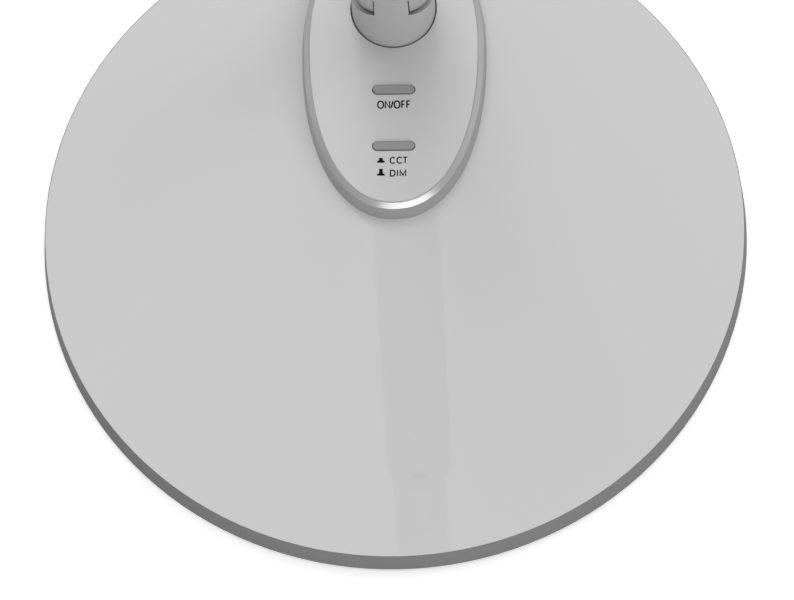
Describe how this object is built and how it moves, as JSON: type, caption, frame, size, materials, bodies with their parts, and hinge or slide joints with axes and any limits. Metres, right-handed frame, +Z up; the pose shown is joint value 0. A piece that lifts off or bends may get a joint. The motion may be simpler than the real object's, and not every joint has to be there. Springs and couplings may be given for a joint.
{
  "type": "folding led desk lamp",
  "caption": "Folding LED desk lamp: round weighted base with a button panel, swivel hinge, telescopic arm and a flat light head on an elbow.",
  "frame": {"origin": "centre of the base's foam pad, on the desk", "axes": "+Z up, +X right and -Y towards the user, whose side the control panel faces"},
  "size_m": [0.201, 0.2572, 0.5924],
  "materials": {
    "foam": "matt foam",
    "side_grey": "satin",
    "silver_lacquer": "glossy silver lacquer",
    "panel_silver": "satin silver",
    "bezel_silver": "bright silver edge",
    "button_grey": "satin",
    "cast_silver": "fine silver paint",
    "tube_metal": "satin anodised",
    "head_metal": "satin anodised",
    "weight_iron": "raw",
    "steel": "zinc plated",
    "black_steel": "blackened",
    "black_plastic": "matt",
    "slide_plastic": "smooth",
    "guide_plastic": "smooth",
    "board_green": "solder mask",
    "board_white": "white solder mask",
    "pad_blue": "soft",
    "brass": "plated",
    "wire_red": "insulation",
    "led_yellow": "phosphor",
    "opal": "opal"
  },
  "bodies": {
    "base": {"base_pad": "foam", "base_tray": "side_grey", "base_weight": "weight_iron", "base_cover": "silver_lacquer", "tray_screws": "steel", "panel_bezel": "bezel_silver", "panel_plate": "panel_silver", "panel_screws": "steel", "control_pcb": "board_green", "pcb_screws": "steel", "switch_power": "black_plastic", "switch_cct": "black_plastic", "driver_parts": "black_plastic", "dc_jack": "black_plastic", "dc_jack_pin": "brass", "jack_lead": "wire_red", "swivel_bush": "slide_plastic", "thrust_washer": "slide_plastic"},
    "power_button": {"button_power": "button_grey", "plunger_power": "black_plastic"},
    "cct_button": {"button_cct": "button_grey", "plunger_cct": "black_plastic"},
    "swivel": {"swivel_collar": "cast_silver", "swivel_stud": "steel", "swivel_washer": "steel", "swivel_nut": "steel", "swivel_stop_pin": "steel", "swivel_lead": "wire_red"},
    "lower_arm": {"lower_fork": "cast_silver", "ear_screw": "black_steel", "hinge_screw": "black_steel", "hinge_nut": "black_steel", "hinge_washers": "slide_plastic", "lower_tube": "tube_metal", "fork_grub_screw": "black_steel", "guide_bush": "guide_plastic", "guide_rivet": "black_steel", "guide_key": "black_steel"},
    "inner_arm": {"inner_tube": "tube_metal", "friction_sleeve": "guide_plastic", "elbow_socket": "cast_silver", "inner_lead": "wire_red"},
    "elbow": {"elbow_fork": "cast_silver", "elbow_circlip": "steel", "elbow_screw": "black_steel", "elbow_nut": "black_steel", "elbow_washers": "slide_plastic"},
    "head": {"head_knuckle": "cast_silver", "knuckle_screws": "steel", "head_housing": "head_metal", "head_end_cap": "head_metal", "thermal_pad": "pad_blue", "led_board": "board_white", "board_screws": "steel", "leds": "led_yellow", "diffuser": "opal", "head_lead": "wire_red"}
  },
  "joints": [
    {"name": "press_power", "type": "slide", "parent": "base", "child": "power_button", "axis": [0, 0, -1], "range_m": [0, 0.0004], "stiffness_N_per_m": 1500, "springref_m": -0.0003},
    {"name": "press_cct", "type": "slide", "parent": "base", "child": "cct_button", "axis": [0, 0, -1], "range_m": [0, 0.0004], "stiffness_N_per_m": 1500, "springref_m": -0.0003},
    {"name": "base_swivel", "type": "hinge", "parent": "base", "child": "swivel", "pos_m": [0, 0.0668, 0.0435], "axis": [0, 0, 1], "range_deg": [-90, 90]},
    {"name": "base_hinge", "type": "hinge", "parent": "swivel", "child": "lower_arm", "pos_m": [0, 0.0668, 0.0435], "axis": [1, 0, 0], "range_deg": [-46, 26]},
    {"name": "arm_telescope", "type": "slide", "parent": "lower_arm", "child": "inner_arm", "axis": [0, -0.1736, 0.9848], "range_m": [-0.135, 0.024]},
    {"name": "elbow_swivel", "type": "hinge", "parent": "inner_arm", "child": "elbow", "pos_m": [0, 0.00392, 0.4001], "axis": [0, -0.1736, 0.9848], "range_deg": [-90, 90]},
    {"name": "elbow_fold", "type": "hinge", "parent": "elbow", "child": "head", "pos_m": [0, -0.0087, 0.41412], "axis": [1, 0, 0], "range_deg": [-32, 143]}
  ]
}
